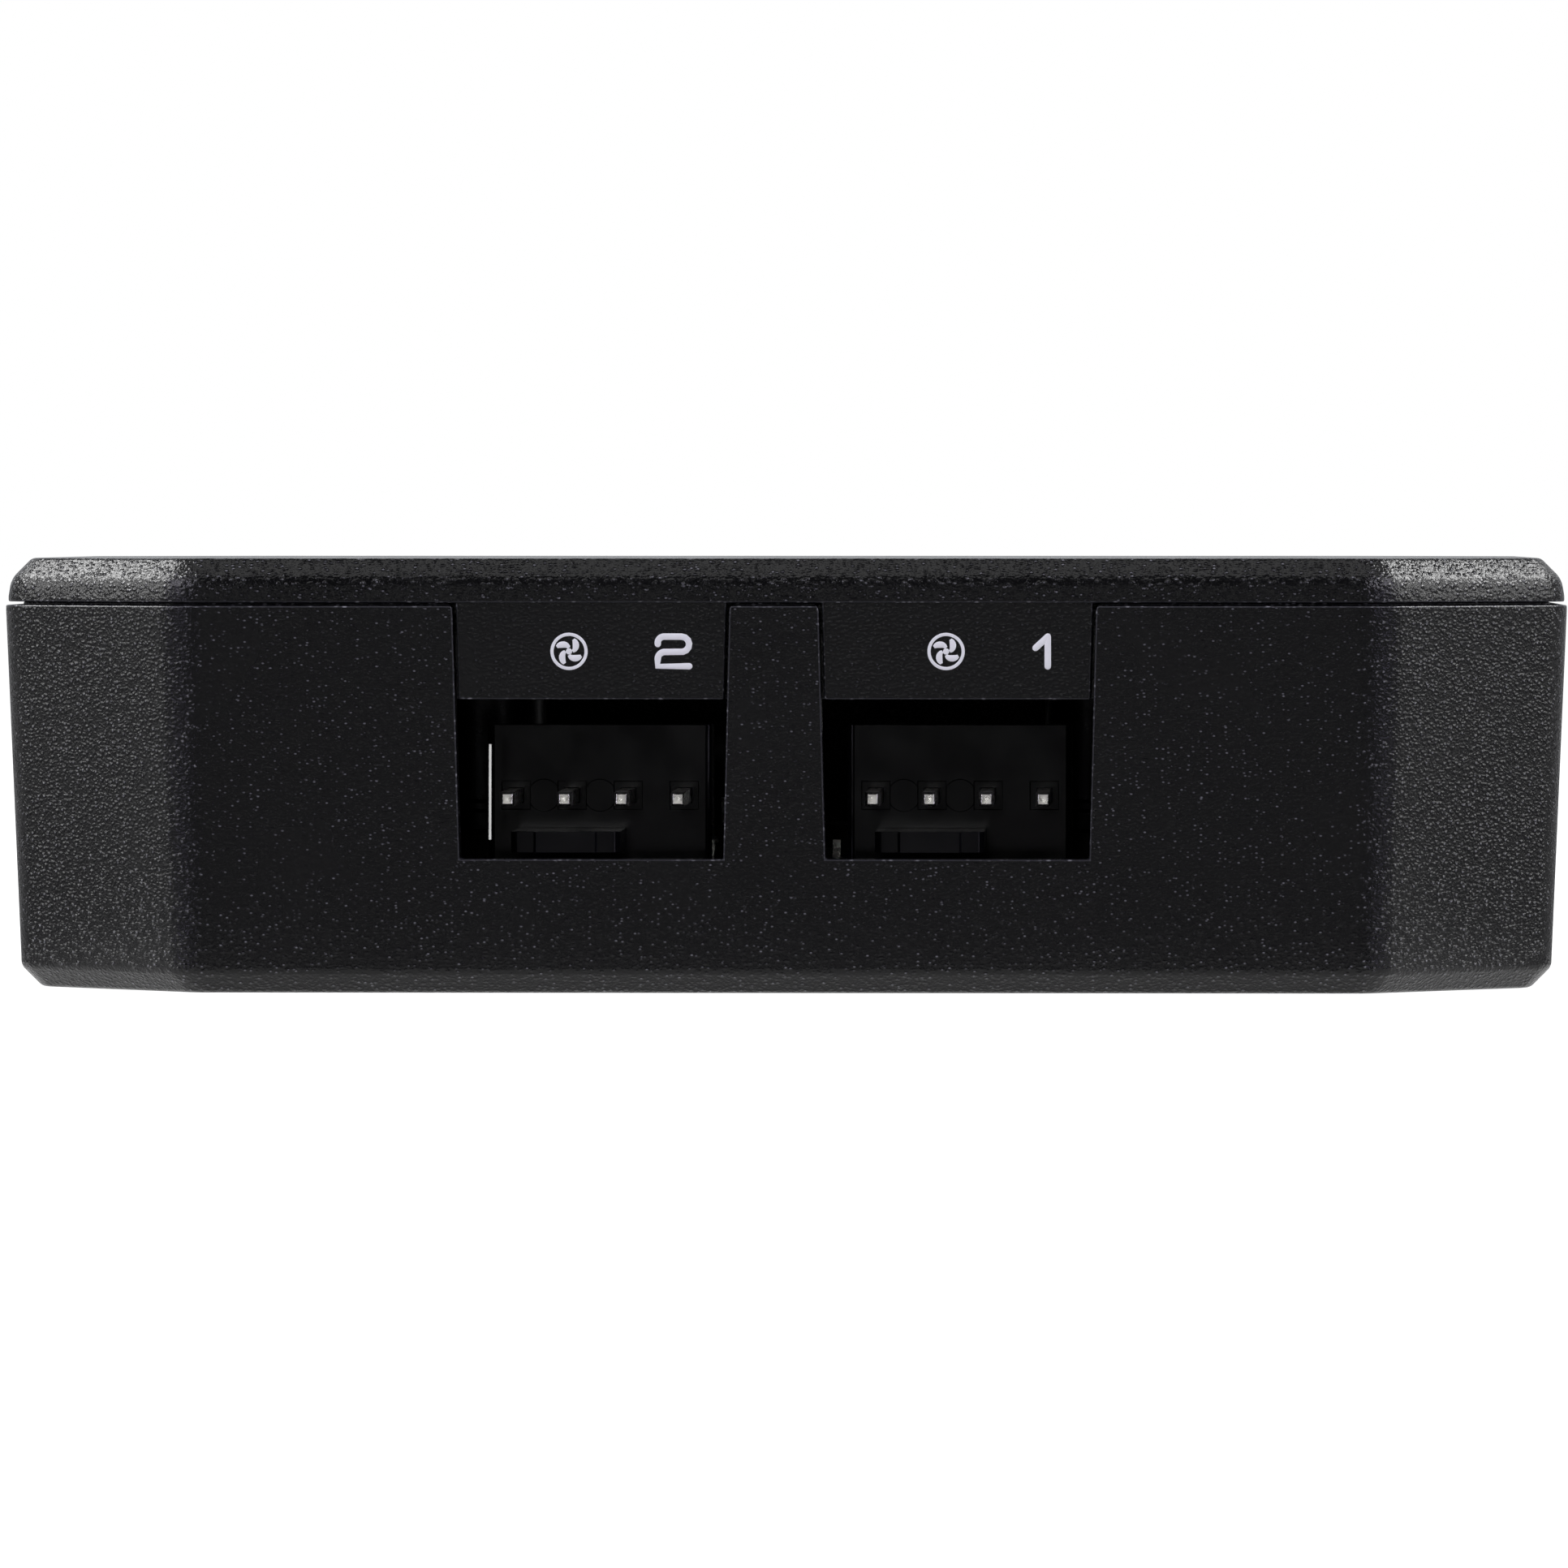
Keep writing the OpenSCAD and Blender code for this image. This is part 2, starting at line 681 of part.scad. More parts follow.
module crystal() {
    deep = crystal_w * 0.64;
    base_h = 0.6;
    color(can_silver) on_board(crystal_x, chip_y) {
        translate([-crystal_w / 2, -deep / 2, 0]) cube([crystal_w, deep, base_h]);
        translate([0, 0, base_h]) package(crystal_w - 0.4, deep - 0.4, base_h);
    }
}

module voltage_regulator() {
    color(epoxy_black) on_board(inlet_x, regulator_y)
        translate([0, 0, stand]) package(regulator_w, regulator_d, regulator_h);
}

module voltage_regulator_leads() {
    lift = stand + regulator_h / 2;
    color(tin) on_board(inlet_x, regulator_y) {
        gull_lead(regulator_d / 2, lift, regulator_w * 0.45);
        rotate([0, 0, 180]) lead_row(3, regulator_w * 0.35, regulator_d / 2, lift);
    }
}

module channel_transistors() {
    color(epoxy_black) for (x = [port_1_x, port_2_x])
        on_board(x, transistor_y) translate([0, 0, stand]) package(transistor_w, transistor_d, transistor_h);
}

module channel_transistor_leads() {
    color(tin) for (x = [port_1_x, port_2_x], turn = [0, 180])
        on_board(x, transistor_y) rotate([0, 0, turn])
            lead_row(4, transistor_w * 0.25, transistor_d / 2, stand + transistor_h / 2);
}

module inductors() {
    color(ferrite) both_channels(coil_x, chip_y) linear_extrude(height = coil_h) cut_square(coil_side, coil_side / 8);
}

can_foot = 1.1;

module capacitor_bases() {
    color(epoxy_black) both_channels(can_x, chip_y) linear_extrude(height = can_foot) cut_square(can_side, can_side / 7);
}

// The can, with the groove that crimps it on its seal.
module capacitor_cans() {
    r = can_d / 2;
    top = can_h - can_foot;
    groove = 0.25;
    color(can_silver) both_channels(can_x, chip_y) translate([0, 0, can_foot])
        rotate_extrude($fn = 64)
            polygon([
                [0, 0], [r - 0.1, 0], [r, 0.15], [r, 0.9], [r - groove, 1.1], [r - groove, 1.35], [r, 1.55],
                [r, top - 0.3], [r - 0.3, top], [0, top],
            ]);
}

module chip_resistors() {
    w = resistor_len / 2;
    y = chip_y - chip_reach - part_gap - resistor_len / 2;
    color(epoxy_black) for (i = [-1.5:1.5])
        on_board(i * (w + 2 * part_gap), y) translate([-w / 2, -resistor_len / 2, 0]) cube([w, resistor_len, w * 0.6]);
}

module chip_capacitors() {
    w = ceramic_len * 0.6;
    y = chip_y + chip_reach + part_gap + ceramic_len / 2;
    color(ceramic_tan) for (i = [-2:2])
        on_board(i * (w + part_gap), y) translate([-w / 2, -ceramic_len / 2, 0]) cube([w, ceramic_len, w * 0.8]);
}

base_shell();
top_cover();
case_screws();
circuit_board();
fan_header_1();
fan_header_1_pins();
fan_header_2();
fan_header_2_pins();
signal_header();
signal_header_pins();
power_inlet();
power_inlet_contacts();
controller_chip();
controller_chip_leads();
crystal();
voltage_regulator();
voltage_regulator_leads();
channel_transistors();
channel_transistor_leads();
capacitor_cans();
capacitor_bases();
inductors();
chip_resistors();
chip_capacitors();
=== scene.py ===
# %% [markdown]
# # A two-channel fan controller hub
# The object is a black plastic box seven centimetres wide, with two ports in its front where computer
# fans plug in. Its solids come packed from the CAD model. This lesson gives them the surfaces that the
# eye looks for: softened edges, moulded grain, tinned pins and printed marks. Lengths in the text and
# in the shapes are millimetres, and Blender's scene is in metres.

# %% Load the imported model
import math

import bmesh
import bpy
from mathutils import Matrix, Vector


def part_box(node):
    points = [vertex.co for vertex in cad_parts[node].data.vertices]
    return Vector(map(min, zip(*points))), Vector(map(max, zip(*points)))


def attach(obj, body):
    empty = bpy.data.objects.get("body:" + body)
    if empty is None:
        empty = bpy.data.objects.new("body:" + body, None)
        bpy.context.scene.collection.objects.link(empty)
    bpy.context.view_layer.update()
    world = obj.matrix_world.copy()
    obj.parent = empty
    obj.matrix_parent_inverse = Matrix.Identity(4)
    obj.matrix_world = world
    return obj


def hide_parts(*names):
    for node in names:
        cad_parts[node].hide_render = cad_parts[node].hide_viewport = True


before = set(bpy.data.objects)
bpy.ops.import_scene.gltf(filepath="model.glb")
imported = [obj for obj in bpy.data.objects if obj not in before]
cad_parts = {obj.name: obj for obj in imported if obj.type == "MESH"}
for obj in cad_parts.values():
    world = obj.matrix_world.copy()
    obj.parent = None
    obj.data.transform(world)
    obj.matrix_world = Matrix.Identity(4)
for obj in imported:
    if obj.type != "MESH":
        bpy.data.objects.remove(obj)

MM = 0.001
scene = bpy.context.scene
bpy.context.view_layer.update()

# %% [markdown]
# ## The sizes that the pieces share
# The two mouldings are drawn again here with finer roundings than a CAD exchange carries. Their sizes
# are the CAD model's own, but for two that follow the photograph more closely: the corner cut is 8.4
# where the CAD has 7.7, and the cover's rim leans a little more. The housing is a rectangle with cut
# corners, and its walls lean in towards the underside, because a moulding that didn't lean would stick
# in its tool. A port is given by the width at its sill, the height of the sill, and the height of the
# lower edge of the tab that closes its top.

# %% Sizes in millimetres
WIDTH, DEPTH, HEIGHT = 70.6, 52.0, 19.4
CORNER_CUT, CORNER_R = 8.4, 2.9
WALL, FLOOR = 1.8, 2.0
DRAFT = math.tan(math.radians(2.4))
BEVEL = 0.95
PARTING = 17.43
GAP, GAP_DEPTH = 0.15, 0.8
COVER_INSET = 0.12
COVER_LEAN = math.tan(math.radians(9))
TONGUE_H, TONGUE_T, FIT = 1.5, 0.75, 0.15
PORT_LEAN = math.tan(math.radians(1.5))
PORT_XS = {"1": 7.9, "2": -8.4}
SIGNAL_X, INLET_X = 18.725, -12.4
HEADER_PORT = {"width": 11.75, "sill": 6.0, "tab": 13.12}
INLET_PORT = {"width": 23.8, "sill": 5.3, "tab": 11.3}
TAB_SETBACK = 0.25
SCREW_X, SCREW_Y = 27.3, 17.8
BOARD_Z, BOARD_TOP = 3.9, 5.5


def inset_at(z):
    """How far the leaning wall has come in from the parting line at height z."""
    return (PARTING - z) * DRAFT


print("wall leans in by", round(inset_at(0), 3), "mm from the parting line to the underside")

# %% [markdown]
# ## Colours and nodes
# A colour written as a hex value is what a screen shows. Blender computes with light, so each value
# goes through one function that undoes the screen's curve. A second function adds any node, with its
# settings, its values and its links, so that a material below reads like a list of what it is made of.

# %% From screen colours to light


def light(hex_colour):
    """The linear RGBA of an sRGB hex colour such as #1a1a1c."""
    channels = [int(hex_colour[i:i + 2], 16) / 255 for i in (1, 3, 5)]
    return [c / 12.92 if c <= 0.04045 else ((c + 0.055) / 1.055) ** 2.4 for c in channels] + [1.0]


print("#808080 is", round(light("#808080")[0], 3), "of white in light")

# %% Adding nodes


def add(tree, kind, settings=None, **sockets):
    """Adds a node, sets its settings, and gives each socket a value or a link."""
    node = tree.nodes.new(kind)
    for name, value in (settings or {}).items():
        setattr(node, name, value)
    for name, value in sockets.items():
        wanted = name.replace("_", " ")
        socket = next(s for s in node.inputs if s.name == wanted and s.enabled)
        if isinstance(value, bpy.types.NodeSocket):
            tree.links.new(value, socket)
        else:
            socket.default_value = value
    return node


def new_material(name):
    """A new material and its node tree, still empty."""
    material = bpy.data.materials.new(name)
    material.use_nodes = True
    material.node_tree.nodes.clear()
    return material, material.node_tree


def out(node, name):
    """The enabled output of a node with that name."""
    return next(s for s in node.outputs if s.name == name and s.enabled)


SMOOTH = {"interpolation_type": "SMOOTHSTEP"}
COLOURS = {"data_type": "RGBA"}
print("settings that several nodes share:", SMOOTH, COLOURS)

# %% [markdown]
# ## Spark-textured ABS
# The housing is ABS moulded in a tool whose surface was roughened by sparks. That leaves a fine wavy
# grain with small round lumps on it. A lump's flank mirrors a lamp that the flat wall doesn't. The tops
# of most lumps are also painted paler, some more than others: a painted highlight that stands in for
# glints. So the black surface shows fine pale specks, brightest where a wall faces sideways. Sharp edges
# get a paler finish of their own, a painted highlight, which draws each edge as a thin broken line. The
# lumps are drawn about a quarter of a millimetre across, a little wider than they are tall. That is
# coarser than the real grain, which would be too fine to show.

# %% Housing material
WAVE_WIDTH = 0.12
LUMP_STRETCH = (0.75, 0.75, 1.2)
# A lump's radius in spacings, and the part of a tip's radius that is painted fully pale as a highlight.
LUMP_R, TIP_CORE = 0.6, 0.2
# Of all lumps this share gets no painted highlight, and none is painted as pale as it would be at the
# second value.
LEFT_BLACK, FULL_HIGHLIGHT_AT = 0.3, 1.1
CLOUD_WIDTH = 6
ABS_GLOSS, ABS_IOR, ABS_SHEEN = 0.25, 1.53, 0.25


def textured_abs(name, base, pale, wave, lump, apart, tip_size):
    """Black ABS: heights of waves and lumps and the lumps' spacing in mm, painted pale tips as a share of
    it.
    """
    material, tree = new_material(name)
    where = out(add(tree, "ShaderNodeTexCoord"), "Object")
    waves = add(tree, "ShaderNodeTexNoise", Vector=where, Scale=1 / (WAVE_WIDTH * MM), Detail=1.0)
    longer = add(tree, "ShaderNodeMapping", Vector=where, Scale=LUMP_STRETCH)
    spots = add(tree, "ShaderNodeTexVoronoi", Vector=out(longer, "Vector"), Scale=1 / (apart * MM))
    away = out(spots, "Distance")
    dome = add(tree, "ShaderNodeMapRange", SMOOTH, Value=away, From_Min=LUMP_R, From_Max=0.0,
               To_Min=0.0, To_Max=1.0)
    tip = add(tree, "ShaderNodeMapRange", SMOOTH, Value=away, From_Min=tip_size,
              From_Max=tip_size * TIP_CORE, To_Min=0.0, To_Max=1.0)
    chance = add(tree, "ShaderNodeSeparateColor", Color=out(spots, "Color"))
    highlight_chance = add(tree, "ShaderNodeMapRange", Value=out(chance, "Red"), From_Min=LEFT_BLACK,
               From_Max=FULL_HIGHLIGHT_AT, To_Min=0.0, To_Max=1.0)
    painted_highlight = add(tree, "ShaderNodeMath", {"operation": "MULTIPLY"})
    tree.links.new(out(tip, "Result"), painted_highlight.inputs[0])
    tree.links.new(out(highlight_chance, "Result"), painted_highlight.inputs[1])
    # The pale tips are a painted highlight: colour that stands in for glints off the lumps.
    colour = add(tree, "ShaderNodeMix", COLOURS, Factor=out(painted_highlight, "Value"), A=light(base), B=light(pale))
    cloud = add(tree, "ShaderNodeTexNoise", Vector=where, Scale=1 / (CLOUD_WIDTH * MM), Detail=2.0)
    rough = add(tree, "ShaderNodeMapRange", Value=out(cloud, "Fac"), From_Min=0.3, From_Max=0.7,
                To_Min=ABS_GLOSS - 0.03, To_Max=ABS_GLOSS + 0.04)
    rolling = add(tree, "ShaderNodeBump", Strength=1.0, Distance=wave * MM, Height=out(waves, "Fac"))
    bumpy = add(tree, "ShaderNodeBump", Strength=1.0, Distance=lump * MM, Height=out(dome, "Result"),
                Normal=out(rolling, "Normal"))
    shader = add(tree, "ShaderNodeBsdfPrincipled", Base_Color=out(colour, "Result"), IOR=ABS_IOR,
                 Roughness=out(rough, "Result"), Normal=out(bumpy, "Normal"),
                 Specular_IOR_Level=ABS_SHEEN)
    add(tree, "ShaderNodeOutputMaterial", Surface=out(shader, "BSDF"))
    return material


# Each finish's second colour is the painted highlight on the tops of its lumps.
abs_grained = textured_abs("spark textured ABS", "#060607", "#727278", 0.035, 0.029, 0.21, 0.3)
abs_smooth = textured_abs("fine textured ABS", "#060607", "#3c3c42", 0.012, 0.014, 0.22, 0.25)
# The edge finish is paler all over: a painted highlight that draws each rounded edge as a lit line.
abs_edge = textured_abs("rubbed edge of ABS", "#2a2a2e", "#8c8c92", 0.02, 0.02, 0.22, 0.5)
print("housing finishes:", abs_grained.name, "/", abs_smooth.name, "/", abs_edge.name)

# %% [markdown]
# ## The plain finishes
# Nothing is one flat colour when it is seen up close. One function makes every other finish: a noise
# pattern, whose patches have a real size, shifts the colour and the gloss a little and lifts the skin by
# a few thousandths of a millimetre.

# %% A finish that drifts a little


def finish(name, low, high, patch, roughness, spread, metallic=0.0, level=0.5, relief=0.0):
    """A finish whose colour and gloss drift a little over patches of a real size in mm."""
    material, tree = new_material(name)
    where = out(add(tree, "ShaderNodeTexCoord"), "Object")
    cloud = add(tree, "ShaderNodeTexNoise", Vector=where, Scale=1 / (patch * MM), Detail=3.0)
    colour = add(tree, "ShaderNodeMix", COLOURS, Factor=out(cloud, "Fac"), A=light(low), B=light(high))
    rough = add(tree, "ShaderNodeMapRange", Value=out(cloud, "Fac"), From_Min=0.3, From_Max=0.7,
                To_Min=roughness - spread, To_Max=roughness + spread)
    bump = add(tree, "ShaderNodeBump", Strength=0.6, Distance=relief * MM, Height=out(cloud, "Fac"))
    shader = add(tree, "ShaderNodeBsdfPrincipled", Base_Color=out(colour, "Result"), Metallic=metallic,
                 Roughness=out(rough, "Result"), Normal=out(bump, "Normal"), Specular_IOR_Level=level)
    add(tree, "ShaderNodeOutputMaterial", Surface=out(shader, "BSDF"))
    return material


# Blocks are nylon from a polished tool: a smooth black with only a faint image of each lamp.
nylon = finish("polished nylon", "#08080a", "#0c0c0f", 1.5, 0.14, 0.04, level=0.14, relief=0.004)
# A fin of flash is smoother still, and mirrors one lamp as a thin bright line.
moulding_flash = finish("glossy moulding flash", "#0c0c0e", "#101013", 1.5, 0.07, 0.02, level=1.0)
# Tin is a soft satin mirror, pale on the sides of the pins.
tin_plate = finish("tinned brass", "#d6d4ce", "#eceae4", 0.4, 0.28, 0.04, metallic=1.0, relief=0.004)
# A pin is cut after it is tinned, so its end is bare brass, duller and slightly torn.
sheared_brass = finish("sheared end of a pin", "#8f8674", "#b5ad9b", 0.12, 0.36, 0.08,
                       metallic=1.0, relief=0.01)
# Black zinc leaves steel its sheen under a dark and faintly blotchy skin.
black_zinc = finish("black zinc on steel", "#2b2b2e", "#3a3a3e", 0.6, 0.36, 0.08,
                    metallic=1.0, relief=0.004)
print("outside:", [m.name for m in (nylon, moulding_flash, tin_plate, sheared_brass, black_zinc)])

# %% [markdown]
# What lies inside the box is only glimpsed in its ports, so each finish there has one thing to tell the
# eye. Bare aluminium cans would shine where a port should be dark, and so they wear black sleeves.

# %% Finishes for the inside and for the print
# Solder mask is a thin lacquer over the board: black with a soft gloss.
solder_mask = finish("black solder mask", "#0a0b0b", "#111313", 2.0, 0.30, 0.05, relief=0.004)
# Chips are moulded in epoxy that is full of fine silica, which makes them a dull dark grey.
moulded_epoxy = finish("moulded epoxy", "#131313", "#1b1b1b", 0.3, 0.6, 0.06, relief=0.006)
# The crystal's can is drawn from thin sheet, and is pale and evenly satin.
drawn_aluminium = finish("drawn aluminium", "#b9babd", "#cfd0d2", 0.8, 0.3, 0.05,
                         metallic=1.0, relief=0.003)
# Ferrite is pressed and fired powder: a dull grey, finely uneven.
sintered_ferrite = finish("sintered ferrite", "#2c2c2f", "#38383b", 0.3, 0.55, 0.08, relief=0.008)
# Fired ceramic is the one warm colour on the board, a dull sandy brown.
fired_ceramic = finish("fired ceramic", "#93795a", "#a68b68", 0.4, 0.5, 0.05, relief=0.004)
# A shrink sleeve is a tight film: black, with a broad soft sheen along the can.
shrink_sleeve = finish("black shrink sleeve", "#0b0b0c", "#101012", 0.8, 0.3, 0.04, relief=0.004)
# Printing ink dries matt, and stays white from every side.
pad_ink = finish("white pad printing ink", "#eff0f3", "#f8f9fb", 0.3, 0.55, 0.05, relief=0.003)
print("inside:", [m.name for m in (solder_mask, moulded_epoxy, drawn_aluminium, sintered_ferrite)],
      [m.name for m in (fired_ceramic, shrink_sleeve)], "and", pad_ink.name)

# %% [markdown]
# ## Making a piece
# Each new piece is shaped in millimetres and made small at the very end, because Blender's mesh tools
# behave best on sizes near one. Faces that meet at a slight angle are shaded as one smooth surface, and
# a last narrow bevel rounds the real edges, since no moulded edge is perfectly sharp.

# %% From a bmesh to an object
SAME_POINT = 1e-4


def to_object(bm, name):
    """A scene object that holds the bmesh, still in millimetres."""
    bmesh.ops.remove_doubles(bm, verts=bm.verts, dist=SAME_POINT)
    bmesh.ops.recalc_face_normals(bm, faces=bm.faces)
    mesh = bpy.data.meshes.new(name)
    bm.to_mesh(mesh)
    bm.free()
    piece = bpy.data.objects.new(name, mesh)
    scene.collection.objects.link(piece)
    return piece


def combine(piece, tool, operation):
    """Cuts the tool out of the piece, or joins it on, and throws the tool away."""
    modifier = piece.modifiers.new(operation.lower(), "BOOLEAN")
    modifier.object = tool
    modifier.operation = operation
    modifier.solver = "EXACT"
    made = bpy.data.meshes.new_from_object(piece.evaluated_get(bpy.context.evaluated_depsgraph_get()))
    piece.modifiers.clear()
    piece.data = made
    bpy.data.objects.remove(tool)


print("points closer than", SAME_POINT, "mm become one")

# %% Finishing a piece
SAME_PLANE = math.radians(0.4)
SHARP = math.radians(28)


def settle(piece, material, edge, nodes, edge_material=None, cut_material=None):
    """Shades, shrinks to metres, bevels by edge mm, and puts the piece in the frame.

    The roundings take edge_material. Faces already marked with index 1 take cut_material.
    """
    bm = bmesh.new()
    bm.from_mesh(piece.data)
    bmesh.ops.dissolve_limit(bm, angle_limit=SAME_PLANE, verts=bm.verts, edges=bm.edges)
    for face in bm.faces:
        face.smooth = True
    for side in bm.edges:
        side.smooth = side.calc_face_angle(math.pi) < SHARP
    bm.to_mesh(piece.data)
    bm.free()
    piece.data.transform(Matrix.Scale(MM, 4))
    piece.data.materials.clear()
    piece.data.materials.append(material)
    if edge_material or cut_material:
        piece.data.materials.append(edge_material or cut_material)
    if edge:
        rounding = piece.modifiers.new("edge rounding", "BEVEL")
        rounding.width = edge * MM
        rounding.segments = 3
        rounding.use_clamp_overlap = False
        rounding.limit_method = "ANGLE"
        rounding.angle_limit = SHARP
        rounding.harden_normals = True
        rounding.material = 1 if edge_material else -1
        even = piece.modifiers.new("flat faces stay flat", "WEIGHTED_NORMAL")
        even.mode = "FACE_AREA"
        even.weight = 100
        even.keep_sharp = True
    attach(piece, "root")
    if nodes:
        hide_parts(*nodes)
    print(piece.name, len(piece.data.polygons), "faces before its bevel")


# %% [markdown]
# ## The plan outline
# Both mouldings start from the same flat face: an octagon, whose eight corners a bevel then rounds.
# Extruded a little, it becomes a disc with a face on top and a face underneath, and every further step
# of a moulding pulls one of those two faces in or out. Where two sides turn by 45 degrees, a rounding of
# radius 1 starts REACH_45 before the corner.

# %% Start of a moulding
REACH_45 = math.tan(math.radians(22.5))


def outline_disc(inset, low, high):
    """A bmesh disc of the plan outline between two heights, its walls all moved in by inset."""
    x, y = WIDTH / 2 - inset, DEPTH / 2 - inset
    cut = CORNER_CUT - (2 - math.sqrt(2)) * inset
    corners = [(x, y - cut), (x - cut, y), (cut - x, y), (-x, y - cut),
               (-x, cut - y), (cut - x, -y), (x - cut, -y), (x, cut - y)]
    bm = bmesh.new()
    face = bm.faces.new([bm.verts.new((a, b, low)) for a, b in corners])
    bmesh.ops.bevel(bm, geom=face.verts[:], affect="VERTICES", segments=10, profile=0.5, material=-1,
                    offset=(CORNER_R - inset) * REACH_45)
    made = bmesh.ops.extrude_face_region(bm, geom=bm.faces[:], use_keep_orig=True)
    top = [v for v in made["geom"] if isinstance(v, bmesh.types.BMVert)]
    bmesh.ops.translate(bm, vec=(0, 0, high - low), verts=top)
    bmesh.ops.recalc_face_normals(bm, faces=bm.faces)
    return bm


def end_face(bm, up):
    """The largest flat face that looks up, or down."""
    side = 1 if up else -1
    flat = [f for f in bm.faces if f.normal.z * side > 0.99]
    return max(flat, key=lambda f: f.calc_area())


test = outline_disc(0, 0, 1)
print("outline has", len(end_face(test, True).verts), "points, area",
      round(end_face(test, True).calc_area(), 1), "mm2")
test.free()

# %% Steps of a moulding


def pull(bm, face, inward, along):
    """Draws the face's edge inward, and moves the face along its own normal."""
    if inward:
        bmesh.ops.inset_region(bm, faces=[face], thickness=inward, depth=along, use_even_offset=True,
                               use_boundary=True)
        return face
    made = bmesh.ops.extrude_discrete_faces(bm, faces=[face])["faces"][0]
    bmesh.ops.translate(bm, vec=made.normal * along, verts=made.verts)
    return made


def soften_rings(bm, heights, radius):
    """Rounds the level rings of edges at these heights, where two faces meet at about 45 degrees."""
    rings = [e for e in bm.edges for z in heights if all(abs(v.co.z - z) < SAME_POINT for v in e.verts)]
    bmesh.ops.bevel(bm, geom=rings, affect="EDGES", segments=4, profile=0.5, material=-1,
                    offset=radius * REACH_45, clamp_overlap=True)
    print(len(rings), "edges softened at heights", heights)


# %% [markdown]
# ## The base
# From the disc just under the parting line, the lower face goes down the leaning wall, across the bevel
# and onto the underside. The upper face makes the ledge of the shadow gap, the rim and the inside of
# the tray. Ports and screw recesses are cut last, because a cut through a finished wall leaves the
# wall's own lean on both sides of it.

# %% Tray
LAND = PARTING - GAP
DISC = 0.25
UNDERSIDE_R = 0.45
HOUSING_EDGE = 0.07
bm = outline_disc(inset_at(LAND), LAND - DISC, LAND)
lower = pull(bm, end_face(bm, False), inset_at(BEVEL) - inset_at(LAND), LAND - DISC - BEVEL)
pull(bm, lower, BEVEL, BEVEL)
upper = pull(bm, end_face(bm, True), GAP_DEPTH - inset_at(LAND), 0)
upper = pull(bm, upper, 0, GAP)
upper = pull(bm, upper, WALL - GAP_DEPTH, 0)
pull(bm, upper, inset_at(FLOOR), FLOOR - PARTING)
soften_rings(bm, [BEVEL, 0], UNDERSIDE_R)
base = to_object(bm, "base_moulding")

# %% [markdown]
# A port is a tapered slot, narrower at its sill, open at the parting line, and rounded where its sides
# run out onto the rim. One face of that shape, pushed through the wall, makes the tool that cuts it. A
# cutting tool reaches PAST what it cuts, so that no thin skin is left.

# %% Port cutters
PAST = 1
PORT_CORNER = 0.35


def port_tool(x, side, port, low, high, shrink, y_out, y_in, corner=0):
    """A tapered block across the wall at x, for side -1 (front) or 1 (back)."""
    at_low, at_rim, at_high = (port["width"] / 2 + (z - port["sill"]) * PORT_LEAN - shrink
                               for z in (low, PARTING, high))
    bm = bmesh.new()
    if corner:
        wide = at_high + 4 * corner
        outline = [(-at_low, low), (at_low, low), (at_rim, PARTING), (wide, PARTING), (wide, high),
                   (-wide, high), (-wide, PARTING), (-at_rim, PARTING)]
    else:
        outline = [(-at_low, low), (at_low, low), (at_high, high), (-at_high, high)]
    points = [bm.verts.new((x + a, side * y_out, z)) for a, z in outline]
    bm.faces.new(points)
    if corner:
        bmesh.ops.bevel(bm, geom=[points[2], points[7]], affect="VERTICES", segments=5, profile=0.5,
                        material=-1, offset=corner)
    made = bmesh.ops.extrude_face_region(bm, geom=bm.faces[:], use_keep_orig=True)
    far = [v for v in made["geom"] if isinstance(v, bmesh.types.BMVert)]
    bmesh.ops.translate(bm, vec=(0, side * (y_in - y_out), 0), verts=far)
    return bm


ports = [(PORT_XS["1"], -1, HEADER_PORT), (PORT_XS["2"], -1, HEADER_PORT),
         (SIGNAL_X, 1, HEADER_PORT), (INLET_X, 1, INLET_PORT)]
for x, side, port in ports:
    tool = port_tool(x, side, port, port["sill"], PARTING + PAST, 0,
                     DEPTH / 2 + PAST, DEPTH / 2 - WALL - PAST, PORT_CORNER)
    combine(base, to_object(tool, "port_cut"), "DIFFERENCE")
print("base has", len(base.data.polygons), "faces after its ports")

# %% [markdown]
# The four case screws go in from below, each in a round recess. Inside, a post stands over each recess
# and carries the board. A post starts SUNK into the floor, so that the two become one solid. The cutter
# for a screw's hole starts inside the recess.

# %% Posts and screw recesses
SUNK = 0.5
POST_R = 3.2
RECESS_R, RECESS_DEPTH = 2.35, 1.9
HOLE_R, HOLE_FROM = 1.35, 1


def rod(x, y, low, high, radius):
    """An upright cylinder."""
    bm = bmesh.new()
    bmesh.ops.create_cone(bm, cap_ends=True, segments=48, radius1=radius, radius2=radius,
                          depth=high - low, matrix=Matrix.Translation((x, y, (low + high) / 2)))
    return bm


screws = [(sx * SCREW_X, sy * SCREW_Y) for sx in (-1, 1) for sy in (-1, 1)]
for x, y in screws:
    combine(base, to_object(rod(x, y, FLOOR - SUNK, BOARD_Z, POST_R), "post"), "UNION")
    combine(base, to_object(rod(x, y, -PAST, RECESS_DEPTH, RECESS_R), "recess"), "DIFFERENCE")
    combine(base, to_object(rod(x, y, HOLE_FROM, BOARD_Z + PAST, HOLE_R), "screw_hole"), "DIFFERENCE")
settle(base, abs_grained, HOUSING_EDGE, ["base_shell"], edge_material=abs_edge)

# %% [markdown]
# ## The cover
# The cover is the same outline a hair further in. Its upper face rises through a short rim and a bevel
# to the flat top. A thin ring under it, the tongue, centres it in the tray. The tabs that close the
# tops of the ports hang from it, and so do the bosses that take the screws.

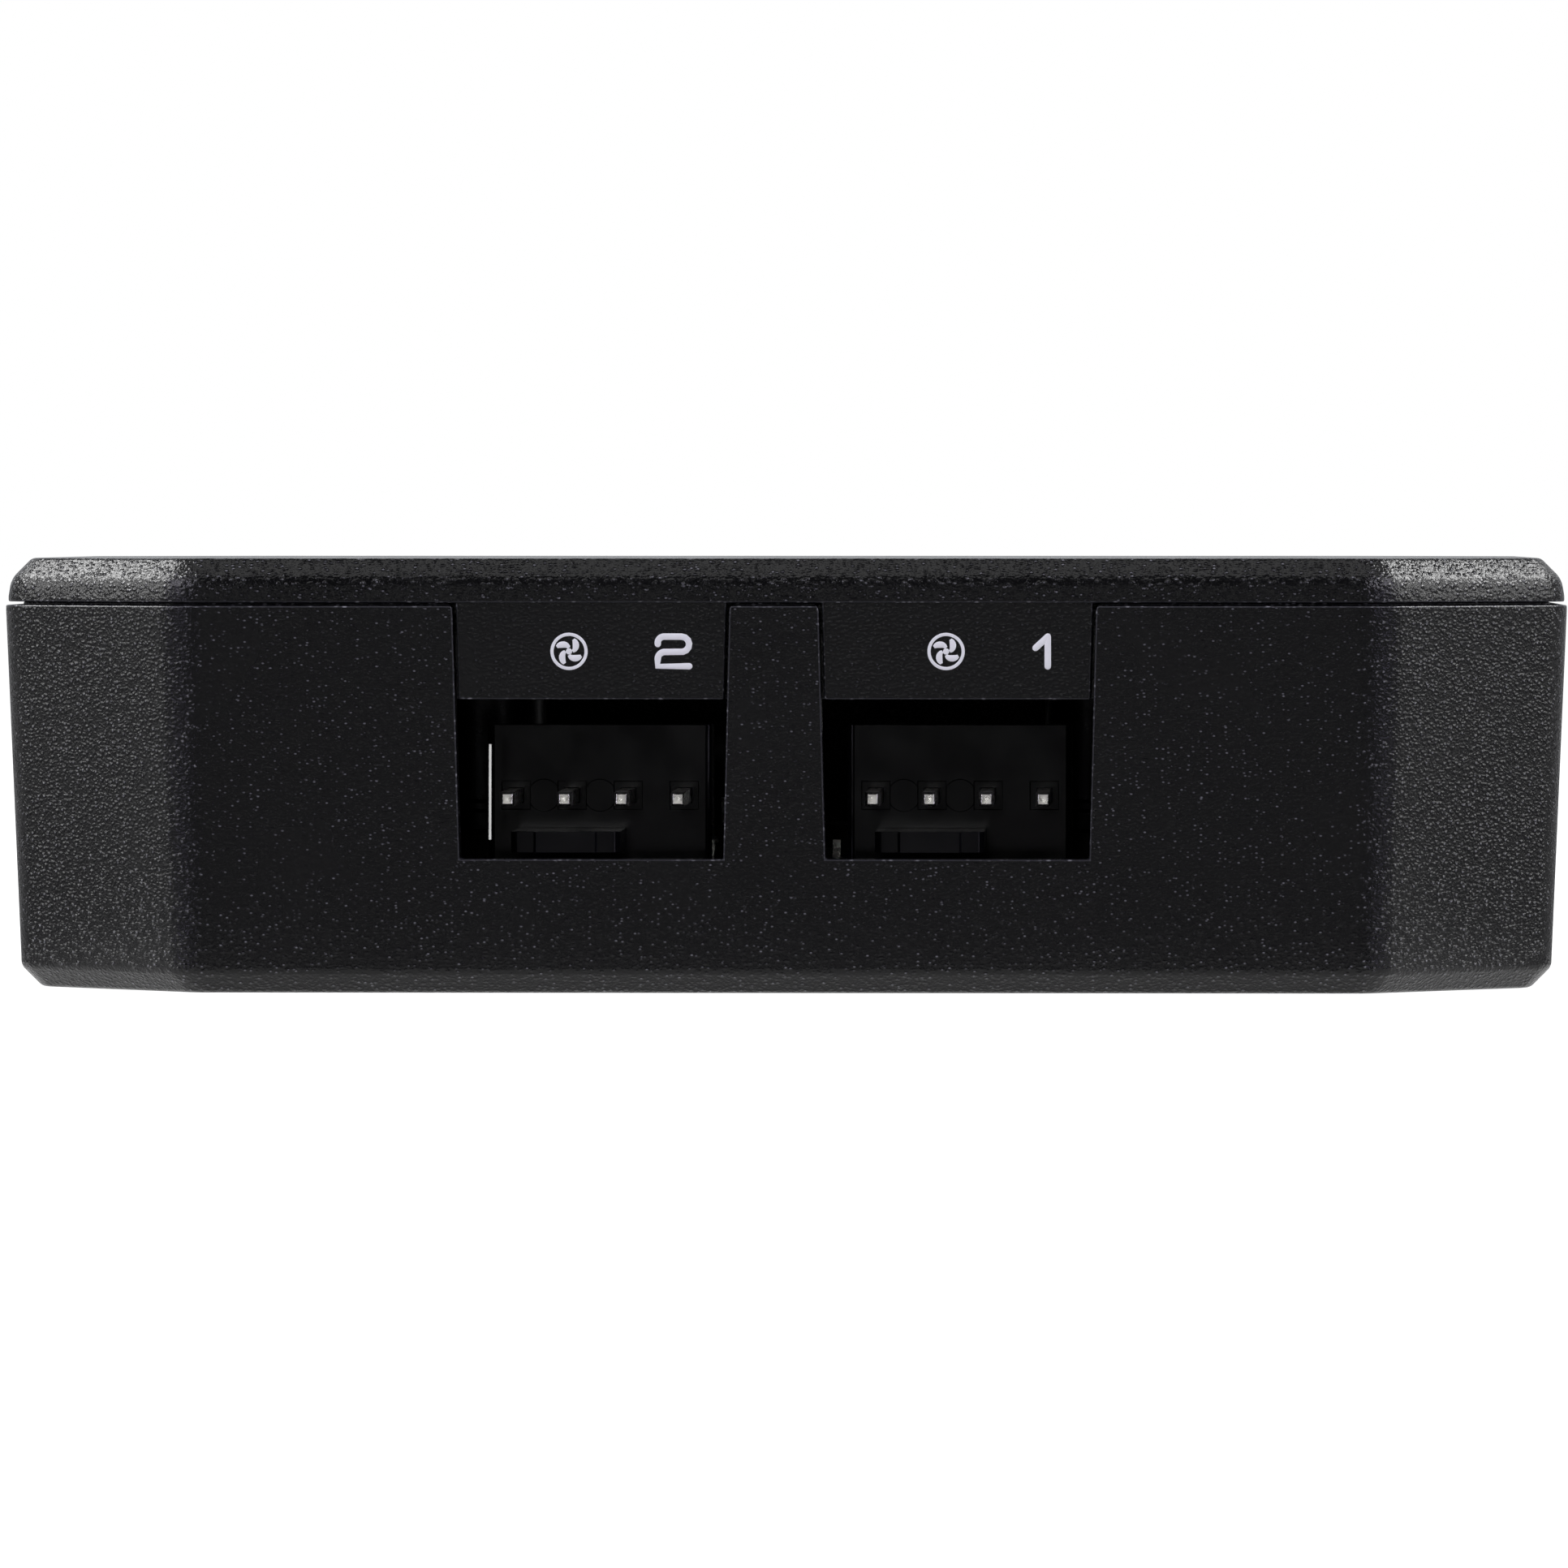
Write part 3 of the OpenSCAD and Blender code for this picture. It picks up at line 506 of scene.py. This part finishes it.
# %% Cover
SHOULDER = HEIGHT - BEVEL
SHOULDER_R, TOP_R = 0.8, 0.4
RIM = SHOULDER - PARTING - DISC
bm = outline_disc(COVER_INSET, PARTING, PARTING + DISC)
upper = pull(bm, end_face(bm, True), RIM * COVER_LEAN, RIM)
pull(bm, upper, BEVEL, BEVEL)
soften_rings(bm, [SHOULDER], SHOULDER_R)
soften_rings(bm, [HEIGHT], TOP_R)
cover = to_object(bm, "cover_moulding")

# %% Tongue and bosses
TONGUE_ROOT = 0.3
BOSS_R = 2.7
PILOT_R, PILOT_TOP = 1.15, 12.9
reach = WALL + FIT + inset_at(PARTING - TONGUE_H)
tongue = to_object(outline_disc(reach, PARTING - TONGUE_H, PARTING + TONGUE_ROOT), "tongue")
core = to_object(outline_disc(reach + TONGUE_T, PARTING - TONGUE_H - PAST, PARTING + PAST), "core")
combine(tongue, core, "DIFFERENCE")
combine(cover, tongue, "UNION")
for x, y in screws:
    combine(cover, to_object(rod(x, y, BOARD_TOP, PARTING + SUNK, BOSS_R), "boss"), "UNION")
    combine(cover, to_object(rod(x, y, BOARD_TOP - PAST, PILOT_TOP, PILOT_R), "pilot"), "DIFFERENCE")
settle(cover, abs_grained, HOUSING_EDGE, ["top_cover"], edge_material=abs_edge)

# %% [markdown]
# The tabs were polished in the tool, so that print holds on them. They are pieces of their own here to
# carry that finer grain, and they run up into the cover, which holds them. Behind the wall each tab has
# a flange a little wider than the notch, so that no daylight shows through the gaps at its sides. The
# CAD model's tabs have no such flange.

# %% Port tabs
TAB_ROOT = 0.4
FLANGE_WIDER, FLANGE_DROP, FLANGE_CLEAR = 0.45, 1.2, 0.05
rear = DEPTH / 2 - WALL - FIT - TONGUE_T / 2
face_of_tab = DEPTH / 2 - TAB_SETBACK
for number, (x, side, port) in enumerate(ports):
    bm = port_tool(x, side, port, port["tab"], PARTING + TAB_ROOT, FIT, face_of_tab, rear)
    for vert in bm.verts:
        if abs(vert.co.y) > (face_of_tab + rear) / 2:
            vert.co.y -= side * inset_at(vert.co.z)
    tab = to_object(bm, f"port_tab_{number}")
    behind_wall = DEPTH / 2 - WALL - inset_at(port["tab"]) - FLANGE_CLEAR
    flange = port_tool(x, side, port, port["tab"], PARTING - FLANGE_DROP, -FLANGE_WIDER, behind_wall, rear)
    combine(tab, to_object(flange, "flange"), "UNION")
    settle(tab, abs_smooth, HOUSING_EDGE, [], edge_material=abs_edge)

# %% [markdown]
# ## Header blocks and power inlet
# These already have their true shape in the CAD model. A copy of each is merged from loose triangles
# into whole faces, so that a narrow bevel can soften its edges. The upright edges between a block's face
# and its chamfers get a wider rounding first, because they look soft in the photograph.

# %% Copies with softened edges
BLOCK_CORNER, BLOCK_EDGE = 0.12, 0.025
# An upright edge rises more than this, and turns by more than this angle in radians.
UPRIGHT, CHAMFER_TURN = 0.5, 0.6


def merged_copy(node):
    """A bmesh of a CAD node in mm, its triangles joined into whole flat faces."""
    bm = bmesh.new()
    bm.from_mesh(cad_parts[node].data)
    bmesh.ops.scale(bm, vec=(1 / MM,) * 3, verts=bm.verts)
    bmesh.ops.remove_doubles(bm, verts=bm.verts, dist=SAME_POINT)
    bmesh.ops.dissolve_limit(bm, angle_limit=SAME_PLANE, verts=bm.verts, edges=bm.edges)
    return bm


def round_upright(bm, front, radius):
    """Rounds the upright edges between the face that looks out of the port and its chamfers."""
    edges = [e for e in bm.edges if abs(e.verts[0].co.z - e.verts[1].co.z) > UPRIGHT
             and len(e.link_faces) == 2 and all(f.normal.y * front > 0.5 for f in e.link_faces)
             and e.calc_face_angle() > CHAMFER_TURN]
    bmesh.ops.bevel(bm, geom=edges, affect="EDGES", segments=5, profile=0.5, material=-1, offset=radius)
    return len(edges)


for node, front in (("fan_header_1", -1), ("fan_header_2", -1), ("signal_header", 1), ("power_inlet", 1)):
    bm = merged_copy(node)
    print(node, "upright edges:", round_upright(bm, front, BLOCK_CORNER))
    settle(to_object(bm, node + "_soft"), nylon, BLOCK_EDGE, [node])

# %% [markdown]
# ## Pins and screws
# A pin was tinned before it was cut to length, so its end is a patch of duller brass in a bright frame.
# The cut slants by a few degrees, which lets the end mirror a lamp above the camera. The slant is made
# by moving the end's points in the more, the higher they are. The screws need only their bevel.

# %% Pins with cut ends, and screws
PIN_EDGE, SCREW_EDGE = 0.04, 0.04
CUT_FRAME, CUT_DEPTH = 0.17, 0.02
# A face or a point belongs to the cut end when it lies this near the tip.
END_FACE, END_POINTS = 0.01, 0.03
SLANT = math.tan(math.radians(3.1))
for node, front in (("fan_header_1_pins", -1), ("fan_header_2_pins", -1), ("signal_header_pins", 1)):
    bm = merged_copy(node)
    tip = max(v.co.y * front for v in bm.verts)
    ends = [f for f in bm.faces if f.calc_center_median().y * front > tip - END_FACE]
    bmesh.ops.inset_individual(bm, faces=ends, thickness=CUT_FRAME, depth=-CUT_DEPTH)
    for face in ends:
        face.material_index = 1
    middle = sum(f.calc_center_median().z for f in ends) / len(ends)
    for vert in bm.verts:
        if vert.co.y * front > tip - END_POINTS:
            vert.co.y -= front * (vert.co.z - middle) * SLANT
    pins = to_object(bm, node + "_soft")
    settle(pins, tin_plate, PIN_EDGE, [node], cut_material=sheared_brass)
screws_soft = to_object(merged_copy("case_screws"), "case_screws_soft")
settle(screws_soft, black_zinc, SCREW_EDGE, ["case_screws"])

# %% [markdown]
# Where the two halves of a header's tool meet, a thin fin of nylon is left: flash. On the left header
# it stands along the outer edge of the block. It leans back a little, so it mirrors a lamp above the
# camera and shows as a thin bright line.

# %% Flash on the left header
FLASH_LEFT, FLASH_RIGHT = 0.38, 0.53
FLASH_LOW, FLASH_HIGH = 6.8, 11.1
FLASH_PROUD, FLASH_SUNK, FLASH_EDGE = 0.02, 0.3, 0.02
FLASH_LEAN = math.tan(math.radians(3.2))
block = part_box("fan_header_2")
left, face_y = block[0][0] / MM, block[0][1] / MM
bm = bmesh.new()
bmesh.ops.create_cube(bm, size=1)
for vert in bm.verts:
    x = left + (FLASH_RIGHT if vert.co.x > 0 else FLASH_LEFT)
    z = FLASH_HIGH if vert.co.z > 0 else FLASH_LOW
    proud = FLASH_PROUD + (FLASH_HIGH - z) * FLASH_LEAN
    vert.co = (x, face_y + (FLASH_SUNK if vert.co.y > 0 else -proud), z)
settle(to_object(bm, "header_flash"), moulding_flash, FLASH_EDGE, [])

# %% [markdown]
# ## What stays as it came
# What can only be glimpsed through the ports keeps its CAD mesh, and gets its finish here.

# %% Finishes for the rest
carried = {
    "circuit_board": solder_mask, "power_inlet_contacts": tin_plate, "controller_chip": moulded_epoxy,
    "controller_chip_leads": tin_plate, "crystal": drawn_aluminium, "voltage_regulator": moulded_epoxy,
    "voltage_regulator_leads": tin_plate, "channel_transistors": moulded_epoxy,
    "channel_transistor_leads": tin_plate, "capacitor_cans": shrink_sleeve,
    "capacitor_bases": moulded_epoxy, "inductors": sintered_ferrite, "chip_resistors": moulded_epoxy,
    "chip_capacitors": fired_ceramic,
}
for node, material in carried.items():
    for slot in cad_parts[node].material_slots:
        slot.material = material
print("carried over:", len(carried), "nodes")

# %% [markdown]
# ## Printed marks
# White marks are pad-printed on the tabs: a small fan and the port's number. Pad printing leaves a layer
# of ink a few hundredths of a millimetre thick with soft edges. A stroke of ink is a curve with a round
# section, pressed nearly flat, and its ends narrow to a round tip.

# %% Strokes of ink
INK_HALF = 0.145
INK_RISE = 0.02


def stroke(points, closed=False, width=1.0):
    """A tube along points in X and Z, each with its share of the half-width as its third number."""
    curve = bpy.data.curves.new("ink", "CURVE")
    curve.dimensions = "3D"
    curve.bevel_depth = INK_HALF
    curve.bevel_resolution = 2
    curve.use_fill_caps = True
    spline = curve.splines.new("POLY")
    spline.points.add(len(points) - 1)
    spline.use_cyclic_u = closed
    for point, (x, z, swell) in zip(spline.points, points):
        point.co = (x, 0, z, 1)
        point.radius = swell * width
    thing = bpy.data.objects.new("ink", curve)
    mesh = bpy.data.meshes.new_from_object(thing)
    bpy.data.objects.remove(thing)
    return mesh


def arc(cx, cz, radius, start, end, steps=6):
    """Points on an arc, angles in degrees anticlockwise from +X."""
    angles = [math.radians(start + (end - start) * i / steps) for i in range(steps + 1)]
    return [(cx + radius * math.cos(a), cz + radius * math.sin(a)) for a in angles]


print("a stroke is", 2 * INK_HALF, "mm wide and stands", INK_RISE, "mm proud")

# %% [markdown]
# The numerals are drawn as a pen would draw them. The 2 has two arcs over its top, a turn at its foot
# and a straight bar. The 1 is two strokes, since one stroke would pinch where it turns back.

# %% Numerals
ROUND_END = [(1.0, 0.12), (0.87, 0.5), (0.5, 0.86)]


def pen(points):
    """A stroke of even width whose ends are rounded by three steps of a quarter circle."""
    path = [Vector(p) for p in points]
    first = (path[0] - path[1]).normalized() * INK_HALF
    last = (path[-1] - path[-2]).normalized() * INK_HALF
    head = [(*(path[0] + first * beyond), swell) for beyond, swell in ROUND_END]
    tail = [(*(path[-1] + last * beyond), swell) for beyond, swell in reversed(ROUND_END)]
    return stroke(head + [(*p, 1.0) for p in path] + tail)


half_h, half_w = 0.66, 0.70
flag, shoulder, foot = 0.28, 0.34, 0.32
top_of_2 = (arc(-half_w + flag, half_h - flag, flag, 190, 90)
            + arc(half_w - shoulder, half_h - shoulder, shoulder, 90, -80))
foot_of_2 = arc(-half_w + foot, -half_h + foot, foot, 100, 180) + [(-half_w, -half_h), (half_w, -half_h)]
stem_x, flag_x, flag_drop = 0.18, -0.36, 0.50
numerals = {
    "1": [[(flag_x, half_h - flag_drop), (stem_x, half_h)], [(stem_x, half_h), (stem_x, -half_h)]],
    "2": [top_of_2 + foot_of_2],
}
print("a numeral is", 2 * half_h + 2 * INK_HALF, "mm high")

# %% [markdown]
# The fan mark is a ring with four swept blades round a hub. Each blade is one curved stroke that swells
# past its middle.

# %% Fan mark
RING_R, HUB_R, RING_LINE = 0.76, 0.07, 0.5
BLADES, BLADE_STEPS = 4, 8
BLADE_TURN = 70
BLADE_FROM, BLADE_LENGTH = 0.16, 0.42


def blade_swell(share):
    """A blade's half-width in shares of a stroke's, at a share of the way from hub to ring."""
    return 0.45 + 0.75 * math.sin(math.pi * share) ** 0.8 * (0.4 + 0.6 * share)


def fan_mark():
    """The ink meshes of one fan mark: ring, hub and blades."""
    meshes = []
    for radius, steps in ((RING_R, 48), (HUB_R, 12)):
        ring = [(*p, 1.0) for p in arc(0, 0, radius, 0, 360, steps)[:-1]]
        meshes.append(stroke(ring, closed=True, width=RING_LINE))
    for blade in range(BLADES):
        path = []
        for step in range(BLADE_STEPS + 1):
            share = step / BLADE_STEPS
            angle = math.radians(360 / BLADES * blade + BLADE_TURN * share)
            away = BLADE_FROM + BLADE_LENGTH * share
            path.append((away * math.cos(angle), away * math.sin(angle), blade_swell(share)))
        meshes.append(stroke(path))
    return meshes


print("fan mark:", round(2 * (RING_R + INK_HALF * RING_LINE), 2), "mm across")

# %% Marks on the tabs
MARK_Z = 15.26
FAN_XS = {"1": 7.40, "2": -9.38}
NUMERAL_XS = {"1": 11.74, "2": -4.73}


def print_on_tab(name, meshes, x, z):
    """Presses ink meshes flat onto the leaning face of a front tab, centred at x and z."""
    bm = bmesh.new()
    for mesh in meshes:
        bm.from_mesh(mesh)
        bpy.data.meshes.remove(mesh)
    bmesh.ops.scale(bm, vec=(1, INK_RISE / INK_HALF, 1), verts=bm.verts)
    lean = Matrix.Rotation(math.atan(DRAFT), 3, "X")
    bmesh.ops.rotate(bm, cent=(0, 0, 0), matrix=lean, verts=bm.verts)
    bmesh.ops.translate(bm, vec=(x, inset_at(z) - face_of_tab, z), verts=bm.verts)
    settle(to_object(bm, name), pad_ink, 0, [])


for number, x in FAN_XS.items():
    print_on_tab("fan_mark_" + number, fan_mark(), x, MARK_Z)
for number, x in NUMERAL_XS.items():
    print_on_tab("numeral_" + number, [pen(points) for points in numerals[number]], x, MARK_Z)

# %% [markdown]
# ## Camera
# The photograph was taken with a long lens from a little to the right of the middle, a hair above the
# top face, so that the front fills the frame and the top shows as a thin line.

# %% Camera
SENSOR = 36
SHOWN_WIDTH = 69.72
target = Vector((0.2, -DEPTH / 2, 9.37)) * MM
eye = Vector((15.2, -DEPTH / 2 - 560, 20.8)) * MM
lens = bpy.data.cameras.new("photo_lens")
lens.sensor_width = SENSOR
lens.lens = SENSOR * (eye - target).length / (SHOWN_WIDTH * MM)
lens.clip_start = 0.01
camera = bpy.data.objects.new("photo_camera", lens)
camera.location = eye
camera.rotation_euler = (target - eye).to_track_quat("-Z", "Y").to_euler()
scene.collection.objects.link(camera)
scene.camera = camera
print("lens", round(lens.lens, 1), "mm")

# %% [markdown]
# ## Floor
# The object stands in a light tent, on a white sheet of paper. To the camera the sheet is plain white,
# but the light that it throws on the object is strong only within a few millimetres of the walls, which
# lights the bevel along the underside and leaves the walls dark.

# %% Floor
FLOOR_METRES = 4
FIBRE_PATCH = 10 / 9
GLOW_REACH = 6
GLOW_NEAR, GLOW_FAR = 0.88, 0.08
bm = bmesh.new()
bmesh.ops.create_circle(bm, cap_ends=True, segments=96, radius=FLOOR_METRES)
mesh = bpy.data.meshes.new("floor")
bm.to_mesh(mesh)
bm.free()
floor = bpy.data.objects.new("floor", mesh)
scene.collection.objects.link(floor)
sheet, tree = new_material("glowing white sheet")
where = out(add(tree, "ShaderNodeTexCoord"), "Object")
fibre = add(tree, "ShaderNodeTexNoise", Vector=where, Scale=1 / (FIBRE_PATCH * MM), Detail=2.0)
tone = add(tree, "ShaderNodeMix", COLOURS, Factor=out(fibre, "Fac"), A=light("#6f6f6f"), B=light("#747474"))
across = add(tree, "ShaderNodeSeparateXYZ", Vector=where)
outside = add(tree, "ShaderNodeMath", {"operation": "MAXIMUM"})
for socket, axis, half_size in zip(outside.inputs, "XY", (WIDTH / 2, DEPTH / 2)):
    far = add(tree, "ShaderNodeMath", {"operation": "ABSOLUTE"}, Value=out(across, axis))
    past = add(tree, "ShaderNodeMath", {"operation": "SUBTRACT"}, Value=out(far, "Value"))
    past.inputs[1].default_value = half_size * MM
    tree.links.new(out(past, "Value"), socket)
cast = add(tree, "ShaderNodeMapRange", Value=out(outside, "Value"), From_Min=0.0,
           From_Max=GLOW_REACH * MM, To_Min=GLOW_NEAR, To_Max=GLOW_FAR)
seen = out(add(tree, "ShaderNodeLightPath"), "Is Camera Ray")
glow = add(tree, "ShaderNodeMix", {"data_type": "FLOAT"}, Factor=seen, A=out(cast, "Result"), B=1.0)
shader = add(tree, "ShaderNodeBsdfPrincipled", Base_Color=out(tone, "Result"), Roughness=0.9,
             Specular_IOR_Level=0.1, Emission_Color=light("#ffffff"), Emission_Strength=out(glow, "Result"))
add(tree, "ShaderNodeOutputMaterial", Surface=out(shader, "BSDF"))
mesh.materials.append(sheet)
print("the sheet's glow falls from", GLOW_NEAR, "to", GLOW_FAR, "over", GLOW_REACH, "mm")

# %% [markdown]
# ## Lamps
# Large lamps stand behind at the left and right, and their light glances off the bevel at the cover's
# cut corners. Smaller ones at both sides light the corner walls, and a narrow strip on each side, faintly
# violet, picks out the rounded corners. Lamps beside the camera and above it light the white print, and
# one small lamp just above the camera shines straight into the ports and onto the pins. Everything else
# round the camera is dark. That is what the flat front mirrors, and so it stays nearly black.

# %% Lamps
LOOK_AT = Vector((0, 0, 0.01))


def soft_lamp(name, place, width, height, radiance, colour="#ffffff"):
    """An area lamp at a place in metres, turned to the object, as bright as radiance on all its face."""
    lamp = bpy.data.lights.new(name, "AREA")
    lamp.shape = "RECTANGLE"
    lamp.size, lamp.size_y = width, height
    lamp.energy = radiance * math.pi * width * height
    lamp.color = light(colour)[:3]
    thing = bpy.data.objects.new(name, lamp)
    thing.location = place
    thing.rotation_euler = (LOOK_AT - Vector(place)).to_track_quat("-Z", "Y").to_euler()
    scene.collection.objects.link(thing)


for side, word in ((-1, "left"), (1, "right")):
    soft_lamp(f"side_{word}", (side * 0.64, 0.34, 0.60), 0.5, 0.28, 13.5)
    soft_lamp(f"middle_{word}", (side * 0.81, 0.07, 0.25), 0.45, 0.2, 6.6)
    soft_lamp(f"low_{word}", (side * 0.86, -0.03, 0.09), 0.34, 0.2, 1.4)
    soft_lamp(f"front_{word}", (side * 0.60, -0.37, 0.54), 0.42, 0.38, 7.5, "#f3f0ff")
    soft_lamp(f"strip_{word}", (side * 0.67, -0.55, 0.10), 0.05, 0.22, 14, "#e6e0ff")
soft_lamp("overhead", (0, 0, 1.0), 0.9, 0.5, 1.4)
soft_lamp("brow", (0, -0.9, 0.33), 0.7, 0.16, 1.1)
soft_lamp("window", (-0.03, -0.9, 0.09), 0.06, 0.06, 10.5)
print("lamps:", len(bpy.data.lights))

# %% [markdown]
# ## Surround
# To the camera the tent is plain white all round. The object sees it nearly dark, except for a bright
# patch straight behind, whose light glances off the flat top and draws it as a thin pale line.

# %% Surround
PATCH_FROM, PATCH_FULL = 0.75, 0.95
TENT_DARK, TENT_BRIGHT = 0.03, 0.9
world = bpy.data.worlds.new("pale surround")
scene.world = world
world.use_nodes = True
tree = world.node_tree
tree.nodes.clear()
towards = add(tree, "ShaderNodeSeparateXYZ", Vector=out(add(tree, "ShaderNodeTexCoord"), "Generated"))
behind = add(tree, "ShaderNodeMapRange", Value=out(towards, "Y"), From_Min=PATCH_FROM,
             From_Max=PATCH_FULL, To_Min=TENT_DARK, To_Max=TENT_BRIGHT)
seen = out(add(tree, "ShaderNodeLightPath"), "Is Camera Ray")
shown = add(tree, "ShaderNodeBackground", Color=light("#ffffff"), Strength=1.0)
cast = add(tree, "ShaderNodeBackground", Color=light("#f4f6fa"), Strength=out(behind, "Result"))
both = add(tree, "ShaderNodeMixShader")
tree.links.new(seen, both.inputs[0])
tree.links.new(out(cast, "Background"), both.inputs[1])
tree.links.new(out(shown, "Background"), both.inputs[2])
add(tree, "ShaderNodeOutputWorld", Surface=out(both, "Shader"))
scene.view_settings.view_transform = "Standard"
print("the tent behind is", round(TENT_BRIGHT / TENT_DARK), "times as bright as the rest of it")
